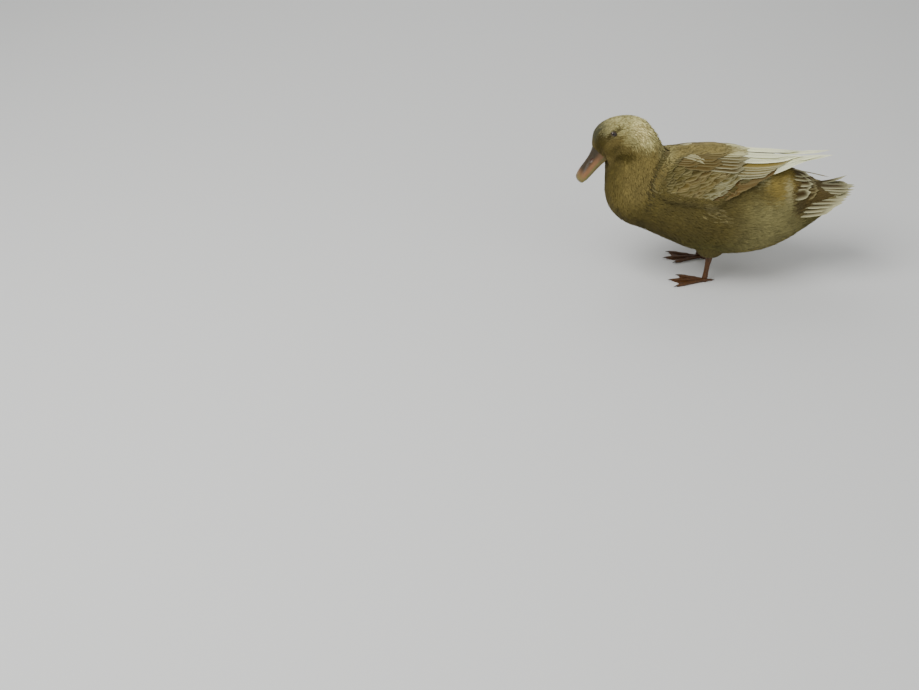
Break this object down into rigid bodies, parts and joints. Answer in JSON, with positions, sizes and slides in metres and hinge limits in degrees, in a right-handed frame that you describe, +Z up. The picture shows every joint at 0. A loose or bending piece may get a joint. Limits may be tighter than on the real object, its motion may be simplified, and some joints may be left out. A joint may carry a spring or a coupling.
{
  "type": "swedish yellow duck",
  "caption": "Standing domestic duck hen as a life-size museum model, head turned a little to its left, wings folded, webbed feet flat on the floor.",
  "frame": {"origin": "on the floor under the middle of the bird's footprint box", "axes": "+Z up, -Y the way the bird's body faces, +X its left side"},
  "size_m": [0.1924, 0.5222, 0.318],
  "materials": {
    "body_plumage": "soft matte feathers, buff brown with pale edges",
    "neck_plumage": "short soft feathers, brownish buff",
    "head_plumage": "very short feathers, cream buff above, olive buff on the face",
    "wing_plumage": "buff and brown feathers with cream edges, cream flight feathers",
    "tail_plumage": "brown feathers with cream edges",
    "bill": "smooth waxy skin, pinkish orange with a blue grey ridge",
    "eye": "wet gloss, dark brown",
    "leg_skin": "scaly orange skin",
    "claw": "smooth dark horn"
  },
  "bodies": {
    "root": {"torso": "body_plumage", "neck": "neck_plumage", "head": "head_plumage", "bill_upper": "bill", "bill_lower": "bill", "eye_left": "eye", "eye_right": "eye", "wing_left": "wing_plumage", "wing_right": "wing_plumage", "tail": "tail_plumage", "thigh_left": "body_plumage", "thigh_right": "body_plumage", "leg_left": "leg_skin", "leg_right": "leg_skin", "foot_left": "leg_skin", "foot_right": "leg_skin", "claw_inner_left": "claw", "claw_middle_left": "claw", "claw_outer_left": "claw", "claw_hind_left": "claw", "claw_inner_right": "claw", "claw_middle_right": "claw", "claw_outer_right": "claw", "claw_hind_right": "claw"}
  },
  "joints": []
}
